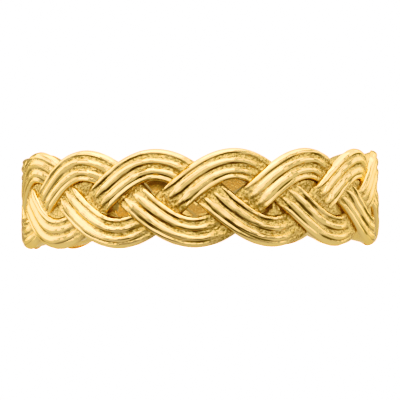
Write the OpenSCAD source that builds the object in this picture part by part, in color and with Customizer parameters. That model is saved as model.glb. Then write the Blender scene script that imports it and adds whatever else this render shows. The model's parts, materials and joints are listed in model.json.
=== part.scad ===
// Braided band ring: three closed strands of yellow gold, plaited flat all the way round.
// It lies on its side: the finger hole runs along Z, the front of the band faces -Y,
// and the lower lobes of the braid rest on Z = 0.

/* [Ring] */
// Inside diameter of the finger hole
finger_d = 17.3; // [15.5:0.1:21]
// Width of the band over the lobes of the braid, at the front and sides
front_w = 5.5; // [5.4:0.1:6.4]
// Width of the band over the lobes at the middle of the back
back_w = 2.9; // [2.8:0.1:5.4]
// Thickness of the band where one strand lies on another, at the front and sides
front_wall = 1.66; // [1.4:0.02:2.2]
// Thickness of the band where one strand lies on another, at the middle of the back
back_wall = 1.5; // [1.3:0.02:2.2]
// Degrees of the plait over which the band narrows, on each side of the back's middle
taper_span = 51; // [45:1:90]

/* [Plait] */
// Waves that each strand makes on its way round the ring
waves = 5; // [4:1:5]
// Degrees from the front to the nearest upper lobe of the first strand
lobe_turn = 5.2; // [-12:0.1:12]
// Width of a strand where it lies on another
over_w = 1.56; // [1.3:0.02:1.64]
// Width of a strand at the lobes
lobe_w = 1.74; // [1.4:0.02:1.84]
// Thickness of a strand where it passes beneath another
under_wall = 0.62; // [0.5:0.02:0.8]
// Clearance between two strands where they cross
crossing_gap = 0.05; // [0.04:0.01:0.12]

/* [Ridges] */
// Polished ridges along each strand
ridges = 3; // [2:1:4]
// Height of a ridge above the grooves beside it
ridge_h = 0.32; // [0.1:0.02:0.4]
// Height that is left of a ridge where its strand passes beneath another
worn_h = 0.08; // [0:0.02:0.2]

/* [Hidden] */
NODES = ["braid_strand_a", "braid_strand_b", "braid_strand_c"];

GOLD = [0.90, 0.72, 0.35];
STRANDS = len(NODES);
WAVE_STEPS = 30;
STEPS = WAVE_STEPS * waves;

// A strand lies on its neighbour at this phase of its wave, and beneath the other one half a lobe before
OVER = 30;
HALF_WAVE = 180;
LOBE = 90;
// Degrees of phase by which the steps crowd together where a strand climbs
CROWD = 14;
// Share of the way from one crossing to the next at which a strand starts to sink after its lobe
SINK_START = 0.4;
// The same share, where its inner face is back at the finger hole
INNER_LANDING = 0.42;

bore_r = finger_d / 2;
swing = (front_w - lobe_w) / 2;
narrowing = 1 - back_w / front_w;
full_turn = 360 - narrowing * taper_span;
// Phase that a strand runs through in each degree of the ring, where the band has its full width
phase_rate = waves * 360 / full_turn;
crossing_r = bore_r + under_wall;
// Slope of a strand at a crossing, the phase that it runs through there in a millimetre of its length,
// and the phase that half of the strand beneath covers, with enough room for the narrow back
slope = atan(swing * cos(OVER) * phase_rate / crossing_r);
phase_per_mm = cos(slope) * phase_rate * 180 / PI / crossing_r;
half_cross = (over_w / 2 + crossing_gap * front_w / back_w) / sin(2 * slope) * phase_per_mm;
// The edge of that strand runs aslant: phase by which it comes sooner for each millimetre off the middle
slant = phase_per_mm / tan(2 * slope);

climb_start = -OVER + half_cross;
climb_end = OVER - half_cross;
sink_end = HALF_WAVE - OVER - half_cross;
top_end = OVER + half_cross;
sink_start = top_end + (sink_end - top_end) * SINK_START;
inner_landing = top_end + (sink_end - top_end) * INNER_LANDING;

// Outline across a strand: share of the half width, share of the way from the inner face
// to the groove floor, and share of the ridge height
CREST_POINTS = [[-0.56, 0.75], [0, 1], [0.56, 0.75]];
OUTLINE = concat(
    [[-1, 0.2, 0], [-1, 0.9, 0]],
    [for (ridge = [0:ridges - 1]) each ridge_points(ridge)],
    [[1, 0.9, 0], [1, 0.2, 0], [0.84, 0, 0], [-0.84, 0, 0]]
);

function ridge_points(ridge) = let (centre = (2 * ridge + 1) / ridges - 1) concat(
    ridge == 0 ? [] : [[centre - 1 / ridges, 1, 0]],
    [for (crest = CREST_POINTS) [centre + crest[0] / ridges, 1, crest[1]]]
);

// Smooth step from 0 to 1
function ease(x) = let (t = min(max(x, 0), 1)) t * t * (3 - 2 * t);
function ease_between(x, from, to) = ease((x - from) / (to - from));
function mix(from, to, share) = from + (to - from) * share;

// Phase brought to the half wave that starts where a strand climbs
function half_phase(phase) = phase - HALF_WAVE * floor((phase - climb_start) / HALF_WAVE);
// How far a strand's outer and inner faces are lifted, and how high its ridges stand, each from 0 to 1
function outer_lift(phase) = let (p = half_phase(phase))
    ease_between(p, climb_start, climb_end) * (1 - ease_between(p, sink_start, sink_end));
function inner_lift(phase) = let (p = half_phase(phase))
    ease_between(p, climb_start, climb_end) * (1 - ease_between(p, top_end, inner_landing));
function ridge_rise(phase) = let (p = half_phase(phase))
    ease_between(p, climb_start, climb_end) * (1 - ease_between(p, LOBE, sink_end));

// How far the band has narrowed at a place in the plait, counted in degrees from the back's middle
function narrowed(place) = 1 - ease(abs(place) / taper_span);
// Degrees from the back's middle on the ring itself: lobes lie closer together where the band is narrow
function ring_turn(place) = let (x = min(abs(place) / taper_span, 1))
    (place - sign(place) * narrowing * taper_span * (x - pow(x, 3) + pow(x, 4) / 2)) * 360 / full_turn;
// The same place, brought between -180 and 180 degrees
function near_back(place) = place - 360 * floor((place + 180) / 360);
// Place in the plait that lies lobe_turn degrees from the front
first_lobe = 180 + lobe_turn * full_turn / 360;

// Middle of a strand at one phase: degrees on the ring, height over mid width, and how far the band has narrowed
function course(phase, strand) =
    let (place = near_back(first_lobe + (phase - LOBE) / waves + 360 / waves / STRANDS * strand))
    let (share = narrowed(place))
    [ring_turn(place), swing * (1 - narrowing * share) * sin(phase), share];

// One ring of points across a strand
function cross_section(step, strand) =
    let (even = 360 * waves * (step + 0.5) / STEPS)
    let (phase = even - CROWD * sin(2 * even))
    let (here = course(phase, strand), share = here[2])
    let (back = course(phase - 1, strand), ahead = course(phase + 1, strand))
    let (mid_r = bore_r + mix(front_wall, back_wall, share) / 2)
    let (along = near_back(ahead[0] - back[0]) * PI / 180 * mid_r, climb = ahead[1] - back[1])
    let (run = norm([along, climb]))
    let (half_w = mix(over_w, lobe_w, pow(sin(phase), 4)) / 2 * (1 - narrowing * share))
    let (wall = mix(front_wall, back_wall, share), under = under_wall * wall / front_wall)
    [for (point = OUTLINE)
        let (offset = point[0] * half_w)
        let (passing = phase + slant * offset * cos(phase) / cos(OVER))
        let (inner_r = bore_r + (under + crossing_gap) * inner_lift(passing))
        let (outer_r = bore_r + mix(under, wall, outer_lift(passing)))
        let (crest_h = mix(worn_h, ridge_h, ridge_rise(passing)) * wall / front_wall)
        let (angle = here[0] - offset * climb / run / mid_r * 180 / PI)
        let (r = mix(inner_r, outer_r - crest_h, point[1]) + crest_h * point[2])
        [-r * sin(angle), r * cos(angle), here[1] + offset * along / run + front_w / 2]
    ];

module strand(number) {
    n = len(OUTLINE);
    points = [for (step = [0:STEPS - 1]) each cross_section(step, number)];
    faces = [for (step = [0:STEPS - 1], i = [0:n - 1])
        let (j = (i + 1) % n, next = (step + 1) % STEPS)
        each [[step * n + i, step * n + j, next * n + j], [step * n + i, next * n + j, next * n + i]]];
    polyhedron(points, faces);
}

module braid_strand_a() {
    color(GOLD) strand(0);
}

module braid_strand_b() {
    color(GOLD) strand(1);
}

module braid_strand_c() {
    color(GOLD) strand(2);
}

braid_strand_a();
braid_strand_b();
braid_strand_c();
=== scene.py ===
"""Looks of a braided band ring: three plaited strands of ridged yellow gold on a pale floor."""

import json
import logging
import math
from dataclasses import dataclass
from enum import Enum
from functools import cached_property
from typing import Any, NamedTuple

import bmesh
import bpy
import numpy as np
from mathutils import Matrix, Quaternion, Vector, noise


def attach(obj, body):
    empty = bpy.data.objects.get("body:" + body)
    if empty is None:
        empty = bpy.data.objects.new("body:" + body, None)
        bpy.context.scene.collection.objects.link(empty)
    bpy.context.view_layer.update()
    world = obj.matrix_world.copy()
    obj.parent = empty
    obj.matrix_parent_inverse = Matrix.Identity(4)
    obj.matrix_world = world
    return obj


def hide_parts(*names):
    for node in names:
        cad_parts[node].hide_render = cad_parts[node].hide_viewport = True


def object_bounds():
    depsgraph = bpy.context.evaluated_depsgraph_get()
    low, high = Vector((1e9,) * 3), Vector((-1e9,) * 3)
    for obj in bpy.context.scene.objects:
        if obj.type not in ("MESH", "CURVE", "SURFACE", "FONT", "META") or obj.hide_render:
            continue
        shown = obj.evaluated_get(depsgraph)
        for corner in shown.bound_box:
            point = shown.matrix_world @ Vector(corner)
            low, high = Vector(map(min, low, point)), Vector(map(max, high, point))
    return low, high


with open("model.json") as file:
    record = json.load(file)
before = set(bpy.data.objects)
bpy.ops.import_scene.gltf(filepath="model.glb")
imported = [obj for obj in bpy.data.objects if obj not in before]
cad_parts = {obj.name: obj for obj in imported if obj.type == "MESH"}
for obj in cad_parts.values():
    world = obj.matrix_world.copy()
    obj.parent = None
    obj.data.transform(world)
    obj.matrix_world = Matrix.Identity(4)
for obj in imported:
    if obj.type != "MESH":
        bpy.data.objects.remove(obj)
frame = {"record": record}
CAD_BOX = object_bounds()

log = logging.getLogger("braided_ring")

MM = 0.001
BODY = "root"
FULL_CIRCLE = 360.0
HALF_WAVE = 180.0
LOBE = 90.0

Array = np.ndarray
Amount = float | Array
Span = tuple[float, float]
Colour = tuple[float, float, float, float]
Curve = tuple[tuple[float, float], ...]
Tree = bpy.types.NodeTree


def ease(share: Array) -> Array:
    """Returns the smooth step of a share, from 0 to 1."""
    held = np.clip(share, 0.0, 1.0)
    return held * held * (3.0 - 2.0 * held)


def ease_between(value: Array, start: Amount, end: Amount) -> Array:
    """Returns the smooth step of a value on its way from start to end."""
    return ease((value - start) / (end - start))


def mix(low: Amount, high: Amount, share: Amount) -> Amount:
    """Returns the value that lies a share of the way from low to high."""
    return low + (high - low) * share


def sine(degrees: Array) -> Array:
    """Returns the sines of angles in degrees."""
    return np.sin(np.radians(degrees))


def lobe_share(phase: Array) -> Array:
    """Returns how near each phase is to a lobe, from 0 at mid width to 1 at the lobe."""
    return sine(phase) ** 4


def cast_noise(places: Array, grain: float) -> Array:
    """Returns the roughness of a casting at each place, around 0, with grains of a given size."""
    return np.array([noise.noise(Vector(place) / grain) for place in places])


def compass(azimuth: float, elevation: float) -> Vector:
    """Finds the direction from the ring to a light or the camera.

    Args:
        azimuth: Degrees from the ring's front towards its right side.
        elevation: Degrees above the floor.

    Returns:
        The direction, of length 1.
    """
    turn = math.radians(azimuth)
    tilt = math.radians(elevation)
    return Vector((math.sin(turn) * math.cos(tilt), -math.cos(turn) * math.cos(tilt), math.sin(tilt)))


def add_object(name: str, content: bpy.types.ID) -> bpy.types.Object:
    """Puts a mesh, light or camera into the scene.

    Args:
        name: Name of the new object.
        content: What the object holds.

    Returns:
        The object, linked to the scene.
    """
    made = bpy.data.objects.new(name, content)
    bpy.context.scene.collection.objects.link(made)
    return made


class Mark(Enum):
    """Values that a strand's mesh carries at each point: its sand, and painted shade as dark lines and as a
    darker tone in hollows.
    """

    SAND = "sand"
    # Painted shade: dark lines along the ridges' lower flanks, and on edges, sides and inner face
    LINE = "line"
    # Painted shade: a darker tone in ramps, grooves, sides and worn places
    RAMP = "ramp"


@dataclass(frozen=True)
class BandSizes:
    """Sizes of the whole band, in metres, and how it narrows at the back."""

    bore_r: float
    front_w: float
    front_wall: float
    back_w: float = 2.9 * MM
    back_wall: float = 1.5 * MM
    taper_span: float = 51.0

    @classmethod
    def from_frame(cls) -> "BandSizes":
        """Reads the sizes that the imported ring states.

        Returns:
            The sizes, with the bore from the record's mount and the rest from the ring's box.
        """
        low, high = CAD_BOX
        bore_r = frame["record"]["mounts"][0]["dims"]["r_mm"] * MM
        return cls(bore_r=bore_r, front_w=high.z - low.z, front_wall=(high.x - low.x) / 2 - bore_r)

    @property
    def narrowing(self) -> float:
        """Share of its width that the band loses by the middle of the back."""
        return 1.0 - self.back_w / self.front_w

    @property
    def full_turn(self) -> float:
        """Degrees of full-width plait that the whole ring amounts to."""
        return FULL_CIRCLE - self.narrowing * self.taper_span


@dataclass(frozen=True)
class Plait:
    """Course of the three strands, each in waves from one edge of the band to the other."""

    sizes: BandSizes
    strands: int = 3
    waves: int = 5
    lobe_turn: float = 5.2
    over_w: float = 1.56 * MM
    lobe_w: float = 1.74 * MM
    under_wall: float = 0.62 * MM
    crossing_gap: float = 0.05 * MM
    over: float = 30.0
    risen: float = 8.0
    sink_start: float = 84.0
    dip: float = 0.34
    landing_share: float = 0.42

    @property
    def swing(self) -> float:
        """How far a strand's middle swings to each side of the band's middle."""
        return (self.sizes.front_w - self.lobe_w) / 2

    @property
    def phase_rate(self) -> float:
        """Phase that a strand runs through in each degree of the ring at full width."""
        return self.waves * FULL_CIRCLE / self.sizes.full_turn

    @property
    def crossing_r(self) -> float:
        """Distance from the ring's middle to the faces that meet where two strands cross."""
        return self.sizes.bore_r + self.under_wall

    @property
    def slope(self) -> float:
        """Angle at which a strand crosses the band's middle line, in radians."""
        climbing = self.swing * math.cos(math.radians(self.over)) * self.phase_rate
        return math.atan(climbing / self.crossing_r)

    @property
    def phase_per_metre(self) -> float:
        """Phase that a strand runs through in a metre of its length at a crossing."""
        return math.cos(self.slope) * math.degrees(self.phase_rate) / self.crossing_r

    @property
    def half_cross(self) -> float:
        """Phase that half of the strand beneath covers."""
        room = self.crossing_gap * self.sizes.front_w / self.sizes.back_w
        return (self.over_w / 2 + room) / math.sin(2 * self.slope) * self.phase_per_metre

    @property
    def slant(self) -> float:
        """Phase by which a crossing comes sooner for each metre off a strand's middle."""
        return self.phase_per_metre / math.tan(2 * self.slope)

    @property
    def climb(self) -> Span:
        """Phases between which a strand climbs out from beneath its neighbour."""
        return -self.over + self.half_cross, self.over - self.half_cross

    @property
    def top_end(self) -> float:
        """Phase at which a strand leaves the neighbour that it lies on."""
        return self.over + self.half_cross

    @property
    def sink_end(self) -> float:
        """Phase at which a strand has sunk beneath the next one."""
        return HALF_WAVE - self.over - self.half_cross

    def half_phase(self, phase: Array) -> Array:
        """Returns the phase within the half wave that starts where a strand climbs."""
        start = self.climb[0]
        return phase - HALF_WAVE * np.floor((phase - start) / HALF_WAVE)

    def outer_lift(self, phase: Array) -> Array:
        """Works out how far the outer face is lifted.

        Args:
            phase: Phase along the strand.

        Returns:
            Share of the band's thickness above the strand's least one, 1 where it lies on top.
        """
        here = phase - HALF_WAVE * np.floor((phase + self.over) / HALF_WAVE)
        climbing = ease_between(here, -self.over, self.risen)
        sinking = ease_between(here, self.sink_start, HALF_WAVE - self.over)
        return 1 - self.dip * (1 - climbing * (1 - sinking))

    def inner_lift(self, phase: Array) -> Array:
        """Works out how far the inner face is lifted off the finger hole.

        Args:
            phase: Phase along the strand.

        Returns:
            Share of the thickness of the strand beneath, from 0 to 1.
        """
        here = self.half_phase(phase)
        landing = mix(self.top_end, self.sink_end, self.landing_share)
        return ease_between(here, *self.climb) * (1 - ease_between(here, self.top_end, landing))

    def narrowed(self, place: Array) -> Array:
        """Returns how far the band has narrowed at a place counted from the back's middle."""
        return 1 - ease(np.abs(place) / self.sizes.taper_span)

    def ring_turn(self, place: Array) -> Array:
        """Finds where on the ring a place in the plait lies.

        Args:
            place: Degrees from the back's middle, counted in plait of full width.

        Returns:
            Degrees from the back's middle on the ring, where narrow lobes lie closer together.
        """
        span = self.sizes.taper_span
        share = np.minimum(np.abs(place) / span, 1.0)
        lost = self.sizes.narrowing * span * (share - share**3 + share**4 / 2)
        return (place - np.sign(place) * lost) * FULL_CIRCLE / self.sizes.full_turn

    def near_back(self, place: Array) -> Array:
        """Returns a place brought between -180 and 180 degrees."""
        return place - FULL_CIRCLE * np.floor((place + HALF_WAVE) / FULL_CIRCLE)

    def course(self, phase: Array, number: int) -> tuple[Array, Array, Array]:
        """Follows the middle of one strand.

        Args:
            phase: Phase along the strand, in degrees, 360 for each wave.
            number: Which strand, from 0.

        Returns:
            Degrees on the ring, height over mid width in metres, and how far the band has narrowed.
        """
        first_lobe = HALF_WAVE + self.lobe_turn * self.sizes.full_turn / FULL_CIRCLE
        step = FULL_CIRCLE / self.waves / self.strands
        place = self.near_back(first_lobe + (phase - LOBE) / self.waves + step * number)
        share = self.narrowed(place)
        height = self.swing * (1 - self.sizes.narrowing * share) * sine(phase)
        return self.ring_turn(place), height, share


class Corner(NamedTuple):
    """A corner of the outline across a strand: shares of its way round, half width and wall."""

    around: float
    across: float
    level: float


SHOULDER_LEVEL = 0.86
HEEL_LEVEL = 0.16
OUTLINE = (
    Corner(around=0.0, across=-1.0, level=1.0),
    Corner(around=0.7, across=1.0, level=1.0),
    Corner(around=0.715, across=0.995, level=SHOULDER_LEVEL),
    Corner(around=0.79, across=0.93, level=HEEL_LEVEL),
    Corner(around=0.81, across=0.8, level=0.0),
    Corner(around=0.88, across=-0.8, level=0.0),
    Corner(around=0.9, across=-0.93, level=HEEL_LEVEL),
    Corner(around=0.98, across=-0.995, level=SHOULDER_LEVEL),
    Corner(around=1.0, across=-1.0, level=1.0),
)
# Level above which a point belongs to the outer face, and levels between which it lies on a side
OUTER_FROM = 0.9
SIDE_LEVELS = (0.1, 0.95)


class Ripple(NamedTuple):
    """A small wave of the ridges: its height, its count round the ring and its lag by ridge."""

    height: float
    count: int
    lag: int


@dataclass(frozen=True)
class RidgeForm:
    """Form of the polished ridges along a strand, and of the painted shade lines along their lower flanks.

    Places, widths and reaches are shares of the strand's half width. Tips start at phases after the
    strand starts to climb, and fade and worn are phases of its half wave.
    """

    centres: tuple[float, ...] = (0.86, 0.22, -0.43, -1.0)
    over_half_w: float = 0.28
    lobe_half_w: float = 0.2
    side_half_w: float = 0.27
    side_turn: Span = (112.0, 140.0)
    side_depth: float = 0.65
    side_tip: float = 5.0
    ledge_w: float = 1.6
    ledge_share: float = 0.75
    least_crest: float = 0.75
    over_depth: float = 0.15 * MM
    lobe_depth: float = 0.16 * MM
    faded_depth: float = 0.25
    roundness: float = 0.65
    wander: float = 0.02
    tip_start: Span = (4.0, 0.0)
    tip_length: float = 18.0
    tip_step: float = 3.0
    tip_w: float = 0.3
    tip_rise: float = 2.5
    fade: Span = (104.0, 126.0)
    worn: Span = (96.0, 118.0)
    upper_later: float = 8.0
    side_later: float = 16.0
    sandy_turn: float = 142.0
    sandy_span: Span = (38.0, 60.0)
    # Place, reach, widths, darkness and flow of the painted shade lines
    line_place: float = 0.85
    line_reach: float = 0.27
    line_widths: Span = (0.55, 1.35)
    line_tones: Span = (0.25, 1.2)
    line_flow: Span = (0.2, 0.85)
    line_rise: float = 4.0
    line_gain: float = 1.7
    lobe_line: float = 0.95
    sway: tuple[Ripple, ...] = (Ripple(1.0, 9, 1), Ripple(0.6, 23, 3))
    crest_flow: tuple[Ripple, ...] = (Ripple(0.3, 67, 4), Ripple(0.2, 113, 7))
    tone_flow: tuple[Ripple, ...] = (Ripple(0.3, 29, 4), Ripple(0.2, 47, 7))
    seed_step: float = 1.7
    strand_step: float = 2.3
    tip_order: float = 5.0


@dataclass(frozen=True)
class EdgeForm:
    """Rounded edges of a strand."""

    bevel: float = 0.45
    shoulder_from: float = 0.8
    rim_from: float = 0.6
    lobe_from: float = 0.46
    shoulder_drop: float = 0.2 * MM
    rim_drop: float = 0.3 * MM
    lobe_drop: float = 0.42 * MM
    end_slope: float = 0.999


@dataclass(frozen=True)
class WebForm:
    """Webs of gold that close the openings between the strands at the ring's sides and back."""

    span: Span = (143.0, 168.0)
    fade: float = 6.0
    phases: Span = (0.35, 0.88)
    reach: float = 1.5
    level: float = 0.72
    inset: float = 0.04 * MM
    shown: float = 0.05
    inner_step: float = 0.14

    def closed(self, turn: Array) -> Array:
        """Returns 1 at the sides and back, where the inner side is closed, and 0 at the front."""
        span = np.where(turn > 0, *self.span)
        return 1 - ease_between(np.abs(turn), span - self.fade, span)

    def share(self, turn: Array, phase: Array, outward: Array, level: Array) -> Array:
        """Returns how far each point moves to close an opening, from 0 to 1 on a full web."""
        reach = ease_between(np.abs(sine(phase)), *self.phases) * self.closed(turn)
        return np.where((outward < 0) & (level < OUTER_FROM), reach, 0.0)

    def spread(self, level: Array) -> Array:
        """Returns how far down a strand's side each level lies, from 0 at the shoulder to 1."""
        return np.clip((SHOULDER_LEVEL - level) / (SHOULDER_LEVEL - HEEL_LEVEL), 0.0, 1.0)

    def raised(self, level: Array) -> Array:
        """Returns the levels on a full web for these levels of a strand's side."""
        heel = level * self.level / HEEL_LEVEL
        return np.where(level > HEEL_LEVEL, mix(SHOULDER_LEVEL, self.level, self.spread(level)), heel)


@dataclass(frozen=True)
class CastSand:
    """Sandy skin of the casting, in the grooves and where the ridges end."""

    grain: float = 0.16 * MM
    finer: float = 2.1
    finer_share: float = 0.6
    depth: float = 0.065 * MM
    side_share: float = 0.5
    side_worn: float = 0.5
    ramp: Span = (4.0, 14.0)
    bare_below: float = 0.45
    polish_from: float = 26.0
    polish_until: Span = (42.0, 68.0)
    polished_bare: float = 0.2
    side_sand: Span = (0.8, 0.25)
    inner_sand: float = 0.3
    edge_span: Span = (0.25, 0.7)

    def grains(self, points: Array) -> Array:
        """Returns the height of the grains at each point, around 0."""
        finer = cast_noise(points, self.grain / self.finer)
        return cast_noise(points, self.grain) + self.finer_share * finer


@dataclass(frozen=True)
class PaintedShade:
    """Painted shade on a strand: dark lines, edges, sides, hollows and the inner face."""

    # Painted shade lines are darkest towards this turn of the ring and lighter away from it
    line_shade_turn: float = 205.0
    line_shade_mean: float = 0.72
    line_shade_swing: float = 0.28
    # Painted shade along the strand's edges and on its sides within the braid, less at the ring's sides
    edge: float = 0.6
    edge_span: Span = (0.93, 0.985)
    side: float = 0.45
    side_calm: float = 0.6
    # Painted shade on the inner face behind the front
    inner: float = 0.3
    inner_turn: Span = (22.0, 38.0)
    inner_level: float = 0.1
    # A patch of painted shade on the inner wall
    shade_patch_turn: float = 10.8
    shade_patch_height: float = 3.85 * MM
    shade_patch_size: Span = (1.1 * MM, 0.42 * MM)
    shade_patch_core: float = 0.55
    # Shares of the painted shade's darker tone in worn places, grooves, sides and on the inner face
    worn_hollow_shade: float = 0.9
    groove_hollow_shade: float = 0.55
    side_hollow_shade: Span = (0.85, 0.4)
    inner_hollow_shade: float = 0.5


@dataclass(frozen=True)
class Skin:
    """Skin of one strand: where its points lie, and how it is carved, cast and painted with shade there.

    Every array has a value for each point.

    Attributes:
        strand: The strand.
        phase: Phase along the strand, in degrees, 360 for each wave.
        passing: Phase at which the neighbour's slanting edge passes the point.
        turn: Degrees on the ring at the strand's middle, from the middle of the back.
        angle: Angle of the point itself round the ring, in radians.
        height: Height above the floor.
        across: Share of the half width, from -1 at the lower edge to 1 at the upper one.
        outward: Share of the half width towards the nearer edge of the band.
        level: Share of the way from the inner to the outer face.
        wall: Thickness of the band.
        side: Whether the point lies on a side of the strand.
        web: How far the point has moved to close an opening, from 0 to 1.
        webbed: Whether it lies on a web that closes an opening.
    """

    strand: "Strand"
    phase: Array
    passing: Array
    turn: Array
    angle: Array
    height: Array
    across: Array
    outward: Array
    level: Array
    wall: Array
    side: Array
    web: Array
    webbed: Array

    def points(self, radius: Array) -> Array:
        """Returns the points' coordinates at these distances from the ring's axis."""
        return np.stack([-radius * np.sin(self.angle), radius * np.cos(self.angle), self.height], axis=1)

    @property
    def outer(self) -> Array:
        """Whether each point lies on the outer face."""
        return self.level > OUTER_FROM

    @cached_property
    def lobe(self) -> Array:
        """How near each point is to a lobe, from 0 at mid width to 1."""
        return lobe_share(self.phase)

    @cached_property
    def brim(self) -> Array:
        """How near each point is to the edge of the band, from 0 to 1 at a lobe's outer edge."""
        return np.where(self.outward > 0, self.lobe, 0.0)

    @cached_property
    def beside(self) -> Array:
        """0 at the front of the ring and 1 at its sides and back."""
        return self.strand.beside(self.phase)

    @cached_property
    def facing_edge(self) -> Array:
        """1 where a strand's side faces the edge of the band, and 0 within the braid."""
        return ease_between(self.outward, *self.strand.sand.edge_span)

    @cached_property
    def climbed(self) -> Array:
        """Phase of each point within the half wave that starts where the strand climbs."""
        return self.strand.plait.half_phase(self.passing)

    @cached_property
    def start(self) -> float:
        """Phase at which the ridges of a rising strand start."""
        return self.strand.plait.climb[0] + self.strand.ridges.tip_start[0]

    @cached_property
    def course(self) -> Array:
        """Finds how far the ridges are on the way to their end, later where they last longer.

        Returns:
            Phase within the half wave at each point, less the delay.
        """
        form = self.strand.ridges
        upper = sine(self.phase) > 0
        away = np.abs(self.strand.plait.near_back(self.turn + form.sandy_turn))
        elsewhere = form.side_later * ease_between(away, *form.sandy_span)
        return self.climbed - (np.where(upper, form.upper_later, 0.0) + elsewhere)

    @cached_property
    def half_width(self) -> Array:
        """Half the width of a ridge, as a share of the strand's half width."""
        form = self.strand.ridges
        return mix(form.over_half_w, mix(form.lobe_half_w, form.side_half_w, self.beside), self.lobe)

    def ripple(self, ridge: int, waves: tuple[Ripple, ...], middle: float) -> Array:
        """Adds up the small waves of one ridge.

        Args:
            ridge: Which ridge, from 0 at the upper edge.
            waves: The small waves.
            middle: Value around which they lie.

        Returns:
            The sum at each point.
        """
        form, strand = self.strand.ridges, self.strand
        turn = np.radians(self.phase / strand.plait.waves)
        seed = form.seed_step * ridge + form.strand_step * strand.number
        return sum((wave.height * np.sin(wave.count * turn + wave.lag * seed) for wave in waves), middle)

    def tip(self, ridge: int) -> Array:
        """Works out how far each point lies along the pointed start of a ridge.

        Args:
            ridge: Which ridge, from 0 at the upper edge.

        Returns:
            Share of the way from the ridge's start to its full form, from 0 to 1.
        """
        form, strand = self.strand.ridges, self.strand
        downward = np.round((self.passing - self.climbed) / HALF_WAVE) % 2
        sooner = form.side_tip * strand.beside(self.passing)
        start = strand.plait.climb[0] + mix(*form.tip_start, downward) - sooner
        start = start + form.tip_step * math.sin(form.tip_order * ridge + strand.number)
        return np.clip((self.climbed - start) / form.tip_length, 0.0, 1.0)

    @cached_property
    def relief(self) -> Array:
        """Raises the ridges on the outer face.

        Returns:
            Level of each point, from 0 on a groove's floor to 1 on a crest.
        """
        form = self.strand.ridges
        relief = np.zeros_like(self.phase)
        for ridge, place in enumerate(form.centres):
            ledge = ridge == len(form.centres) - 1
            tip = self.tip(ridge)
            reach = self.half_width * mix(form.tip_w, 1.0, tip) * (form.ledge_w if ledge else 1.0)
            side = np.abs(self.across - place - form.wander * self.ripple(ridge, form.sway, 0.0)) / reach
            bulge = np.clip(1 - side**2, 0.0, 1.0) ** form.roundness * ease(tip * form.tip_rise)
            flow = self.ripple(ridge, form.crest_flow, 0.5)
            crest = form.ledge_share if ledge else mix(form.least_crest, 1.0, flow)
            relief = np.maximum(relief, bulge * crest)
        return relief

    @cached_property
    def shade_lines(self) -> Array:
        """Paints a dark line of shade along the lower flank of each ridge.

        Returns:
            Darkness of each point, from 0 to 1.
        """
        form = self.strand.ridges
        painted_shade = np.zeros_like(self.phase)
        for ridge, place in enumerate(form.centres[:-1]):
            flow = ease_between(self.ripple(ridge, form.tone_flow, 0.5), *form.line_flow)
            tip = self.tip(ridge)
            below = place + form.wander * self.ripple(ridge, form.sway, 0.0) - self.across
            below = below / (self.half_width * mix(form.tip_w, 1.0, tip))
            reach = form.line_reach * mix(*form.line_widths, flow)
            line = 1 - ease(np.abs(below - form.line_place) / reach)
            painted_shade = np.maximum(painted_shade, line * mix(*form.line_tones, flow) * ease(tip * form.line_rise))
        fading = 1 - ease_between(self.course, *form.worn)
        return np.clip(form.line_gain * painted_shade, 0.0, 1.0) * fading * mix(1.0, form.lobe_line, self.lobe)

    @cached_property
    def groove_depth(self) -> Array:
        """Works out the depth of the grooves between the ridges.

        Returns:
            Depth in metres, for a band of full thickness.
        """
        form = self.strand.ridges
        fading = 1 - ease_between(self.course, *form.fade)
        depth = mix(form.over_depth, form.lobe_depth, self.lobe) * mix(form.faded_depth, 1.0, fading)
        return depth * mix(1.0, form.side_depth, self.beside)

    @cached_property
    def drop(self) -> Array:
        """Works out how far the rounded edges drop.

        Returns:
            Drop in metres, for a band of full thickness.
        """
        form, across = self.strand.edges, self.across
        start = mix(np.where(across > 0, form.rim_from, form.shoulder_from), form.lobe_from, self.brim)
        share = np.clip((np.abs(across) - start) / (1 - start), 0.0, 1.0)
        depth = mix(np.where(across > 0, form.rim_drop, form.shoulder_drop), form.lobe_drop, self.brim)
        return depth * (1 - np.sqrt(1 - share**2 * form.end_slope))

    @cached_property
    def radius(self) -> Array:
        """Puts the faces, edges and grooves together.

        Returns:
            Distance of each point from the ring's axis, in metres, without its sand.
        """
        plait, webs = self.strand.plait, self.strand.webs
        sizes = plait.sizes
        scale = self.wall / sizes.front_wall
        under = plait.under_wall * self.wall / sizes.front_wall
        top_r = sizes.bore_r + mix(under, self.wall, plait.outer_lift(self.passing))
        lift = plait.inner_lift(self.passing) * mix(1.0, webs.inner_step, webs.closed(self.turn))
        inner_r = sizes.bore_r + under * lift + webs.inset * self.web
        outer_r = top_r - self.drop * scale * (1 - self.web)
        carved = self.groove_depth * scale * (1 - self.relief)
        return mix(inner_r, outer_r, self.level) - carved * self.outer

    @cached_property
    def ramp(self) -> Array:
        """Share of the sandy ramp where the strand comes out from beneath its neighbour."""
        first, last = self.strand.sand.ramp
        return (1 - ease_between(self.climbed, self.start + first, self.start + last)) * (1 - self.relief)

    @cached_property
    def worn(self) -> Array:
        """How far the ridges have turned into sand past the lobes, from 0 to 1."""
        worn = ease_between(self.course, *self.strand.ridges.worn)
        return worn * mix(1.0, self.strand.sand.side_worn, self.beside)

    def on_sides(self, tones: Span) -> Array:
        """Returns a mark on the sides, from within the braid to the band's edge, and 1 on a web."""
        return np.where(self.webbed, 1.0, mix(*tones, self.facing_edge))

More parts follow.
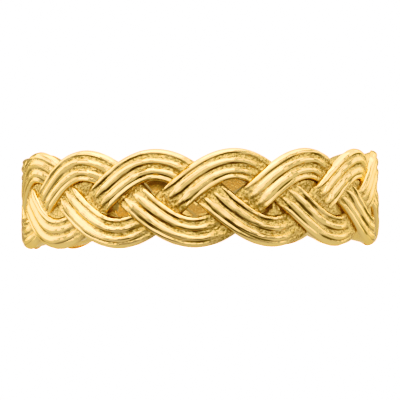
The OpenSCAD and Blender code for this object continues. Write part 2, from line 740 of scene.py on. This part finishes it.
    @cached_property
    def sandy(self) -> Array:
        """Marks the sand on the outer face and the sides.

        Returns:
            Share of sand at each point, and 0 on the inner face.
        """
        sand = self.strand.sand
        risen = ease_between(self.climbed, self.start, sand.polish_from)
        polished = risen * (1 - ease_between(self.climbed, *sand.polish_until))
        bare = (1 - ease(self.relief / sand.bare_below)) * mix(1.0, sand.polished_bare, polished)
        face = np.maximum(np.maximum(bare, self.ramp), self.worn)
        return np.where(self.side, self.on_sides(sand.side_sand), np.where(self.outer, face, 0.0))

    @cached_property
    def inner_painted_shade(self) -> Array:
        """Paints shade on the inner face behind the front, and a patch of painted shade on the inner wall.

        Returns:
            Darkness of each point, from 0 to 1.
        """
        tones, bore_r = self.strand.tones, self.strand.plait.sizes.bore_r
        behind = 1 - ease_between(np.abs(self.turn), *tones.inner_turn)
        along = np.radians(self.turn - tones.shade_patch_turn) * bore_r / tones.shade_patch_size[0]
        above = (self.height - tones.shade_patch_height) / tones.shade_patch_size[1]
        shade_patch = 1 - ease_between(np.hypot(along, above), tones.shade_patch_core, 1.0)
        return np.maximum(tones.inner * behind * (self.level < tones.inner_level), shade_patch)

    @cached_property
    def painted_shade(self) -> Array:
        """Gathers the painted shade of the lines, edges, sides and inner face.

        Returns:
            Darkness of each point, from 0 to 1.
        """
        tones = self.strand.tones
        # Painted shade lines, darker towards one turn of the ring
        aside = np.radians(self.turn - tones.line_shade_turn)
        line = self.shade_lines * (tones.line_shade_mean + tones.line_shade_swing * np.cos(aside))
        # Painted shade along the edges and on the sides within the braid, less at the ring's sides
        calm = 1 - tones.side_calm * self.beside
        edge = tones.edge * ease_between(np.abs(self.across), *tones.edge_span) * (1 - self.brim) * calm
        side = tones.side * (1 - self.facing_edge) * (self.side & ~self.webbed) * calm
        return np.where(self.outer, np.maximum(line, edge), np.maximum(self.inner_painted_shade, side))

    @cached_property
    def hollow_shade(self) -> Array:
        """Paints shade as a darker tone into the ramps, grooves, sides and worn places, and a share of it on
        the inner face.

        Returns:
            Share of the painted shade's darker tone, from 0 to 1.
        """
        tones = self.strand.tones
        face = np.maximum(self.ramp, tones.worn_hollow_shade * self.worn)
        face = np.maximum(face, tones.groove_hollow_shade * (1 - self.relief))
        inside = np.where(self.side, self.on_sides(tones.side_hollow_shade), tones.inner_hollow_shade)
        return np.where(self.outer, face, inside)


@dataclass(frozen=True)
class Strand:
    """One closed strand of the braid, with its ridges, cast grooves and polished edges."""

    plait: Plait
    number: int
    letter: str
    stations: int = 1240
    around: int = 80
    crowd: float = 8.0
    over_w: float = 1.74 * MM
    sharp_angle: float = 62.0
    weld_distance: float = 1e-4 * MM
    dip: float = 0.09
    dip_turn: float = 83.0
    dip_span: float = 9.0
    ridges: RidgeForm = RidgeForm()
    edges: EdgeForm = EdgeForm()
    webs: WebForm = WebForm()
    sand: CastSand = CastSand()
    tones: PaintedShade = PaintedShade()

    @property
    def node(self) -> str:
        """Name of the CAD node that this strand stands for."""
        return f"braid_strand_{self.letter}"

    def blank(self) -> bpy.types.Mesh:
        """Makes the flat grid that becomes the strand's skin, once along and once around.

        Returns:
            A mesh of quads between -1 and 1, with a UV map.
        """
        bm = bmesh.new()
        bm.loops.layers.uv.new("strand")
        bmesh.ops.create_grid(bm, x_segments=self.stations, y_segments=self.around, size=1.0, calc_uvs=True)
        mesh = bpy.data.meshes.new(f"gold_strand_{self.letter}")
        bm.to_mesh(mesh)
        bm.free()
        return mesh

    def outline(self, around: Array) -> tuple[Array, Array]:
        """Returns shares of the half width and of the wall for shares of the way round the outline."""
        knots, across, level = zip(*OUTLINE)
        return np.interp(around, knots, across), np.interp(around, knots, level)

    def heading(self, phase: Array, mid_r: Array) -> tuple[Array, Array]:
        """Finds the direction in which the strand runs.

        Args:
            phase: Phase along the strand.
            mid_r: Radius at the middle of the band's thickness.

        Returns:
            How far it runs round the ring and how far it rises over two degrees of phase, in metres.
        """
        back_turn, back_height, _ = self.plait.course(phase - 1, self.number)
        next_turn, next_height, _ = self.plait.course(phase + 1, self.number)
        run = np.radians(self.plait.near_back(next_turn - back_turn)) * mid_r
        return run, next_height - back_height

    def lower_ends(self, above: Array, turn: Array) -> Array:
        """Returns heights over mid width, with the upper lobes at the photo's two ends dipped."""
        dip = self.dip * np.exp(-(((np.abs(turn) - self.dip_turn) / self.dip_span) ** 2))
        return above * np.where(above > 0, 1 - dip, 1.0)

    def lay_out(self, flat: Array) -> Skin:
        """Places the points of the flat grid on the strand.

        Args:
            flat: Coordinates of the grid's points, between -1 and 1.

        Returns:
            The points' places on the skin, all but their distance from the ring's axis.
        """
        plait, sizes = self.plait, self.plait.sizes
        along = (flat[:, 0] + 1) / 2
        across, level = self.outline((flat[:, 1] + 1) / 2)
        even = FULL_CIRCLE * plait.waves * along
        phase = even - self.crowd * sine(2 * even)
        turn, middle, share = plait.course(phase, self.number)
        wall = mix(sizes.front_wall, sizes.back_wall, share)
        mid_r = sizes.bore_r + wall / 2
        run, rise = self.heading(phase, mid_r)
        length = np.hypot(run, rise)
        half_w = mix(self.over_w, plait.lobe_w, lobe_share(phase)) / 2 * (1 - sizes.narrowing * share)
        outward = across * sine(phase)
        web = self.webs.share(turn, phase, outward, level)
        across = across * (1 - self.edges.bevel * np.clip(outward, 0.0, 1.0) * (1 - level))
        spread = web * self.webs.spread(level)
        offset = across * half_w * (1 + self.webs.reach * spread)
        edge_run = plait.slant * offset * np.cos(np.radians(phase)) / math.cos(math.radians(plait.over))
        side = (level > SIDE_LEVELS[0]) & (level < SIDE_LEVELS[1])
        return Skin(
            strand=self,
            phase=phase,
            passing=phase + edge_run,
            turn=turn,
            angle=np.radians(turn - np.degrees(offset * rise / length / mid_r)),
            height=self.lower_ends(middle + offset * run / length, turn) + sizes.front_w / 2,
            across=across,
            outward=outward,
            level=mix(level, self.webs.raised(level), web),
            wall=wall,
            side=side,
            web=web,
            webbed=side & (spread > self.webs.shown),
        )

    def beside(self, phase: Array) -> Array:
        """Returns 0 at the front of the ring and 1 at its sides and back, for each phase."""
        turn = np.abs(self.plait.course(phase, self.number)[0])
        return 1 - ease_between(turn, *self.ridges.side_turn)

    def shape(self, mesh: bpy.types.Mesh) -> None:
        """Bends the flat grid into the strand and marks sand, painted shade lines and painted hollow shade
        on it.

        Args:
            mesh: The flat grid.
        """
        flat = np.empty(len(mesh.vertices) * 3)
        mesh.vertices.foreach_get("co", flat)
        skin = self.lay_out(flat.reshape(-1, 3))
        calmer = np.where(skin.webbed, 1.0, mix(1.0, self.sand.side_share, skin.beside))
        grains = self.sand.grains(skin.points(skin.radius)) * self.sand.depth * skin.sandy * calmer
        mesh.vertices.foreach_set("co", skin.points(skin.radius + grains).ravel())
        # Sand, painted shade lines and painted shade in the hollows
        marks = {
            Mark.SAND: np.where(skin.outer | skin.side, skin.sandy, self.sand.inner_sand),
            Mark.LINE: skin.painted_shade,
            Mark.RAMP: skin.hollow_shade,
        }
        for mark, values in marks.items():
            attribute = mesh.attributes.new(mark.value, "FLOAT", "POINT")
            attribute.data.foreach_set("value", values.astype(np.float32))

    def weld(self, mesh: bpy.types.Mesh) -> None:
        """Closes the skin along its two seams and turns its faces outwards.

        Args:
            mesh: The bent skin.
        """
        bm = bmesh.new()
        bm.from_mesh(mesh)
        bmesh.ops.remove_doubles(bm, verts=bm.verts, dist=self.weld_distance)
        bmesh.ops.recalc_face_normals(bm, faces=bm.faces)
        for face in bm.faces:
            face.smooth = True
        bm.to_mesh(mesh)
        bm.free()
        mesh.set_sharp_from_angle(angle=math.radians(self.sharp_angle))

    def build(self, finish: bpy.types.Material) -> bpy.types.Object:
        """Makes the strand and puts it in the place of its CAD node.

        Args:
            finish: Material of the strand.

        Returns:
            The finished strand.
        """
        mesh = self.blank()
        self.shape(mesh)
        self.weld(mesh)
        mesh.materials.append(finish)
        strand = add_object(mesh.name, mesh)
        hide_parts(self.node)
        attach(strand, BODY)
        return strand


class Wire:
    """A shader socket that takes part in Python expressions, each of which adds its Math node."""

    def __init__(self, tree: Tree, socket: bpy.types.NodeSocket) -> None:
        """Wraps one output socket of a node tree."""
        self.tree = tree
        self.socket = socket

    def maths(self, operation: str, *values: "Wire | float") -> "Wire":
        """Returns the result of a Math node on these values."""
        return add_node(self.tree, "ShaderNodeMath", {"operation": operation}, dict(enumerate(values)))

    def __add__(self, other: "Wire | float") -> "Wire":
        """Returns self + other."""
        return self.maths("ADD", self, other)

    __radd__ = __add__

    def __sub__(self, other: "Wire | float") -> "Wire":
        """Returns self - other."""
        return self.maths("SUBTRACT", self, other)

    def __rsub__(self, other: "Wire | float") -> "Wire":
        """Returns other - self."""
        return self.maths("SUBTRACT", other, self)

    def __mul__(self, other: "Wire | float") -> "Wire":
        """Returns self * other."""
        return self.maths("MULTIPLY", self, other)

    __rmul__ = __mul__


def feed(tree: Tree, node: bpy.types.Node, values: dict[Any, Any]) -> None:
    """Sets or links input sockets of a node.

    Args:
        tree: Tree that holds the node.
        node: Node whose sockets are fed.
        values: Values or wires, by the sockets' names or numbers.
    """
    for name, value in values.items():
        if isinstance(value, Wire):
            tree.links.new(value.socket, node.inputs[name])
        else:
            node.inputs[name].default_value = value


def set_stops(ramp: bpy.types.ColorRamp, stops: Curve) -> None:
    """Gives a colour ramp its stops.

    Args:
        ramp: The ramp, which starts with two stops.
        stops: Place and grey level of each stop.
    """
    while len(ramp.elements) < len(stops):
        ramp.elements.new(1.0)
    for element, (place, level) in zip(ramp.elements, stops):
        element.position = place
        element.color = (level, level, level, 1.0)


def add_node(tree: Tree, kind: str, settings: dict[str, Any], values: dict[Any, Any],
             output: str | int | None = 0) -> Wire | None:
    """Adds one node to a tree.

    Args:
        tree: Tree that takes the node.
        kind: Type of the node.
        settings: Properties that are set first, or the stops of a colour ramp.
        values: Values or wires for its input sockets, by name or number.
        output: Output socket to return, by name or number, or None for a tree's last node.

    Returns:
        The wire from the chosen output, if there is one.
    """
    made = tree.nodes.new(kind)
    for name, setting in settings.items():
        if name == "stops":
            set_stops(made.color_ramp, setting)
        else:
            setattr(made, name, setting)
    feed(tree, made, values)
    return None if output is None else Wire(tree, made.outputs[output])


@dataclass(frozen=True)
class YellowGold:
    """Polished yellow gold on the ridges, with a sandy cast skin in the grooves, and painted shade in its
    hollows and along its ridges.
    """

    polished: Colour = (1.0, 0.67, 0.28, 1.0)
    edge: Colour = (1.0, 0.82, 0.5, 1.0)
    grooves: Colour = (0.82, 0.56, 0.22, 1.0)
    # Darker tone of the painted shade in hollows
    hollow_shade_tone: Colour = (0.74, 0.49, 0.19, 1.0)
    pits: Colour = (0.33, 0.2, 0.05, 1.0)
    # Colour of the painted shade lines, edges, sides and inner face
    shade_lines: Colour = (0.08, 0.052, 0.008, 1.0)
    polish_roughness: float = 0.14
    sand_roughness: float = 0.4
    smudges: float = 0.08
    matt_share: float = 0.35
    grain: float = 0.13 * MM
    grain_detail: float = 3.0
    grain_mix: float = 0.6
    grain_depth: float = 0.07 * MM
    pit_span: Span = (0.465, 0.575)
    pit_share: float = 0.88
    line_share: float = 0.9
    streaks: tuple[float, float, float] = (34.0, 26.0, 1.0)
    streak_detail: float = 2.0
    streak_height: float = 0.4
    scratch_length: float = 0.5 * MM
    scratch_detail: float = 4.0
    scratch_height: float = 0.05
    bump_strength: float = 0.9

    def mark(self, tree: Tree, kind: Mark) -> Wire:
        """Returns one of the marks on the strand."""
        return add_node(tree, "ShaderNodeAttribute", {"attribute_name": kind.value}, {}, "Fac")

    def tint(self, share: Wire, under: Wire | Colour, over: Colour) -> Wire:
        """Lays one colour over another.

        Args:
            share: How far the upper colour covers.
            under: The lower colour.
            over: The upper colour.

        Returns:
            The mixed colour.
        """
        factor, first, second, result = 0, 6, 7, 2
        layers = {factor: share, first: under, second: over}
        return add_node(share.tree, "ShaderNodeMix", {"data_type": "RGBA"}, layers, result)

    def colour(self, sand: Wire, grains: Wire) -> Wire:
        """Works out the colour, from polished gold to sand, painted shade in the hollows, pits and painted
        dark lines of shade.

        Args:
            sand: Share of sand.
            grains: Height of the grains.

        Returns:
            The colour.
        """
        span = {"Value": grains, "From Min": self.pit_span[0], "From Max": self.pit_span[1]}
        pits = add_node(sand.tree, "ShaderNodeMapRange", {}, span, "Result")
        gold = self.tint(sand, self.polished, self.grooves)
        # Painted shade: a darker tone in the hollows
        hollow_shade = self.tint(self.mark(sand.tree, Mark.RAMP), gold, self.hollow_shade_tone)
        pitted = self.tint(sand * sand * pits * self.pit_share, hollow_shade, self.pits)
        # Painted shade: dark lines laid over everything
        return self.tint(self.mark(sand.tree, Mark.LINE) * self.line_share, pitted, self.shade_lines)

    def relief(self, sand: Wire, grains: Wire, wear: Wire) -> Wire:
        """Works out the fine relief: grains of sand, patches of wear and polishing marks.

        Args:
            sand: Share of sand.
            grains: Height of the grains.
            wear: Patches of wear.

        Returns:
            The bent normal.
        """
        tree = sand.tree
        skin = add_node(tree, "ShaderNodeTexCoord", {}, {}, "UV")
        drawn = add_node(tree, "ShaderNodeVectorMath", {"operation": "MULTIPLY"}, {0: skin, 1: self.streaks})
        fine = {"Vector": drawn, "Scale": 1.0, "Detail": self.streak_detail}
        streaks = add_node(tree, "ShaderNodeTexNoise", {}, fine, "Fac")
        height = grains * sand + self.scratch_height * wear + self.streak_height * streaks * (1.0 - sand)
        bump = {"Strength": self.bump_strength, "Distance": self.grain_depth, "Height": height}
        return add_node(tree, "ShaderNodeBump", {}, bump, "Normal")

    def material(self) -> bpy.types.Material:
        """Builds the finish.

        Returns:
            The material, which reads Object coordinates and the marks of sand and painted shade on the
            strand.
        """
        made = bpy.data.materials.new("yellow_gold_cast")
        made.use_nodes = True
        tree = made.node_tree
        place = add_node(tree, "ShaderNodeTexCoord", {}, {}, "Object")
        fine = {"Vector": place, "Scale": 1 / self.grain, "Detail": self.grain_detail,
                "Roughness": self.grain_mix}
        grains = add_node(tree, "ShaderNodeTexNoise", {}, fine, "Fac")
        worn = {"Vector": place, "Scale": 1 / self.scratch_length, "Detail": self.scratch_detail}
        wear = add_node(tree, "ShaderNodeTexNoise", {}, worn, "Fac")
        sand = self.mark(tree, Mark.SAND)
        rise = self.sand_roughness - self.polish_roughness
        feed(tree, tree.nodes["Principled BSDF"], {
            "Specular Tint": self.edge,
            "Base Color": self.colour(sand, grains),
            "Roughness": self.polish_roughness + rise * sand + self.smudges * (wear - 0.5),
            "Metallic": 1.0 - self.matt_share * sand,
            "Normal": self.relief(sand, grains, wear),
        })
        return made


@dataclass(frozen=True)
class SoftBox:
    """A rectangular studio light that faces the ring, with one even brightness over its face."""

    name: str
    azimuth: float
    elevation: float
    width: float
    height: float
    radiance: float
    distance: float = 0.5

    def build(self) -> bpy.types.Object:
        """Makes the light.

        Returns:
            The light object, which the camera doesn't see.
        """
        lamp = bpy.data.lights.new(self.name, "AREA")
        lamp.shape = "RECTANGLE"
        lamp.size = self.width
        lamp.size_y = self.height
        lamp.energy = self.radiance * math.pi * self.width * self.height
        box = add_object(self.name, lamp)
        back = compass(self.azimuth, self.elevation)
        box.location = back * self.distance
        box.rotation_mode = "QUATERNION"
        box.rotation_quaternion = (-back).to_track_quat("-Z", "Y")
        box.visible_camera = False
        return box


LIGHTS = (
    SoftBox("overhead_box", azimuth=-20, elevation=68, width=0.5, height=0.34, radiance=3.0),
    SoftBox("top_box", azimuth=180, elevation=76, width=0.6, height=0.36, radiance=2.4),
    SoftBox("front_box", azimuth=0, elevation=27, width=0.8, height=0.46, radiance=1.4, distance=0.6),
    SoftBox("left_box", azimuth=-72, elevation=24, width=0.34, height=0.42, radiance=2.2),
    SoftBox("right_box", azimuth=70, elevation=26, width=0.3, height=0.4, radiance=1.5),
    SoftBox("back_box", azimuth=180, elevation=45, width=0.6, height=0.3, radiance=1.2),
    SoftBox("left_back_box", azimuth=-125, elevation=18, width=0.4, height=0.4, radiance=1.8),
    SoftBox("right_back_box", azimuth=125, elevation=18, width=0.4, height=0.4, radiance=1.4),
)


@dataclass(frozen=True)
class Studio:
    """Pale floor, white surroundings and the film's response."""

    floor_radius: float = 0.6
    floor_sides: int = 96
    floor_seen: float = 1.9
    # Radius in mm and brightness of the floor's painted glow in the gold: a painted dark band of shadow just
    # outside the ring, a steady glow under it and further out
    glow_and_shadow_steps: Curve = (
        (0.0, 0.5), (10.7, 0.5), (11.1, 0.05), (12.3, 0.05), (14.0, 0.5), (18.0, 0.65), (40.0, 0.65))
    depth_axis: tuple[float, float, float] = (0.2, 1.0, 0.0)
    front_end: Span = (-10.8 * MM, -9.2 * MM)
    room: float = 0.5
    backdrop: float = 3.0
    white_level: float = 2.4
    red_tones: Curve = (
        (0.0255, 0.055), (0.0568, 0.145), (0.1266, 0.35), (0.188, 0.525), (0.281, 0.74), (0.42, 0.95),
        (0.63, 0.992))
    green_tones: Curve = (
        (0.0255, 0.04), (0.0568, 0.14), (0.1266, 0.35), (0.188, 0.53), (0.281, 0.655), (0.42, 0.75),
        (0.63, 0.87))
    blue_tones: Curve = (
        (0.016, 0.008), (0.035, 0.053), (0.0568, 0.125), (0.1266, 0.305), (0.188, 0.425), (0.281, 0.53),
        (0.42, 0.65), (0.63, 0.83))

    def floor(self) -> bpy.types.Object:
        """Makes the floor, a plain pale disc at the height that the ring lies on.

        Returns:
            The floor.
        """
        bm = bmesh.new()
        bmesh.ops.create_circle(bm, cap_ends=True, segments=self.floor_sides, radius=self.floor_radius)
        mesh = bpy.data.meshes.new("studio_floor")
        bm.to_mesh(mesh)
        bm.free()
        mesh.materials.append(self.floor_finish())
        plane = add_object("studio_floor", mesh)
        return plane

    def floor_finish(self) -> bpy.types.Material:
        """Builds the floor's finish.

        Returns:
            The material, evenly pale to the camera, and with a painted glow and a painted band of shadow
            that only the gold reflects.
        """
        made = bpy.data.materials.new("pale_floor")
        made.use_nodes = True
        tree = made.node_tree
        tree.nodes.clear()
        seen = add_node(tree, "ShaderNodeLightPath", {}, {}, "Is Camera Ray")
        shown = add_node(tree, "ShaderNodeBsdfDiffuse", {}, {"Color": (self.floor_seen,) * 3 + (1.0,)})
        mirrored = add_node(tree, "ShaderNodeEmission", {}, {"Color": self.glow(tree)})
        blend = add_node(tree, "ShaderNodeMixShader", {}, {0: seen, 1: mirrored, 2: shown})
        add_node(tree, "ShaderNodeOutputMaterial", {}, {"Surface": blend}, None)
        return made

    def glow(self, tree: Tree) -> Wire:
        """Works out the floor's painted glow that the gold reflects, with a painted dark band of shadow just
        round the ring.

        Args:
            tree: Tree of the floor's material.

        Returns:
            The glow, which follows the distance from the ring's middle in front of the ring only.
        """
        reach, plain = self.glow_and_shadow_steps[-1]
        stops = tuple((radius / reach, level) for radius, level in self.glow_and_shadow_steps)
        place = add_node(tree, "ShaderNodeTexCoord", {}, {}, "Object")
        away = add_node(tree, "ShaderNodeVectorMath", {"operation": "LENGTH"}, {0: place}, "Value")
        share = away * (1 / (reach * MM))
        tone = add_node(tree, "ShaderNodeValToRGB", {"stops": stops}, {0: share}, "Color")
        along = {0: place, 1: self.depth_axis}
        depth = add_node(tree, "ShaderNodeVectorMath", {"operation": "DOT_PRODUCT"}, along, "Value")
        span = {"Value": depth, "From Min": self.front_end[0], "From Max": self.front_end[1]}
        behind = add_node(tree, "ShaderNodeMapRange", {}, span, "Result")
        return tone + (plain - tone) * behind

    def surroundings(self) -> None:
        """Sets the room's own light, with a white backdrop behind everything."""
        world = bpy.data.worlds.new("studio_room")
        bpy.context.scene.world = world
        world.use_nodes = True
        tree = world.node_tree
        tree.nodes.clear()
        seen = add_node(tree, "ShaderNodeLightPath", {}, {}, "Is Camera Ray")
        strength = self.room + (self.backdrop - self.room) * seen
        light = add_node(tree, "ShaderNodeBackground", {}, {"Strength": strength})
        add_node(tree, "ShaderNodeOutputWorld", {}, {"Surface": light}, None)

    def film(self) -> None:
        """Sets how bright tones roll off to white, as on the photograph."""
        settings = bpy.context.scene.view_settings
        settings.view_transform = "Standard"
        settings.look = "None"
        settings.use_curve_mapping = True
        mapping = settings.curve_mapping
        mapping.white_level = (self.white_level,) * 3
        mapping.extend = "HORIZONTAL"
        for curve, tones in zip(mapping.curves, (self.red_tones, self.green_tones, self.blue_tones)):
            for brightness, tone in tones:
                curve.points.new(brightness, tone)
        mapping.update()


@dataclass(frozen=True)
class PhotoView:
    """The camera, a long lens level with the ring and just above the floor."""

    distance: float = 0.25
    azimuth: float = -6.0
    elevation: float = -0.57
    roll: float = -0.64
    ring_w: float = 20.62 * MM
    ring_pixels: int = 358
    frame_pixels: int = 400
    shift_pixels: float = -0.3
    sensor: float = 36.0
    near: float = 0.01
    far: float = 10.0

    def build(self, middle: Vector) -> bpy.types.Object:
        """Makes the camera and aims it at the ring.

        Args:
            middle: Middle of the ring.

        Returns:
            The camera.
        """
        frame_w = self.frame_pixels * self.ring_w / self.ring_pixels
        lens = bpy.data.cameras.new("photo_camera")
        lens.sensor_width = self.sensor
        lens.lens = self.sensor * self.distance / frame_w
        lens.shift_y = self.shift_pixels / self.frame_pixels
        lens.clip_start = self.near
        lens.clip_end = self.far
        camera = add_object("photo_camera", lens)
        back = compass(self.azimuth, self.elevation)
        camera.location = middle + back * self.distance
        camera.rotation_mode = "QUATERNION"
        level = (-back).to_track_quat("-Z", "Y")
        camera.rotation_quaternion = level @ Quaternion((0, 0, 1), math.radians(self.roll))
        bpy.context.scene.camera = camera
        return camera


def main() -> None:
    """Builds the camera, the studio and the three strands, in that order."""
    logging.basicConfig(level=logging.INFO)
    low, high = CAD_BOX
    middle = Vector((0.0, 0.0, (low.z + high.z) / 2))
    PhotoView().build(middle)
    studio = Studio()
    studio.floor()
    studio.surroundings()
    studio.film()
    for box in LIGHTS:
        box.build()
    gold = YellowGold().material()
    plait = Plait(BandSizes.from_frame())
    for number, letter in enumerate("abc"):
        strand = Strand(plait, number, letter).build(gold)
        log.info("%s: %d faces", strand.name, len(strand.data.polygons))


if __name__ == "__main__":
    main()
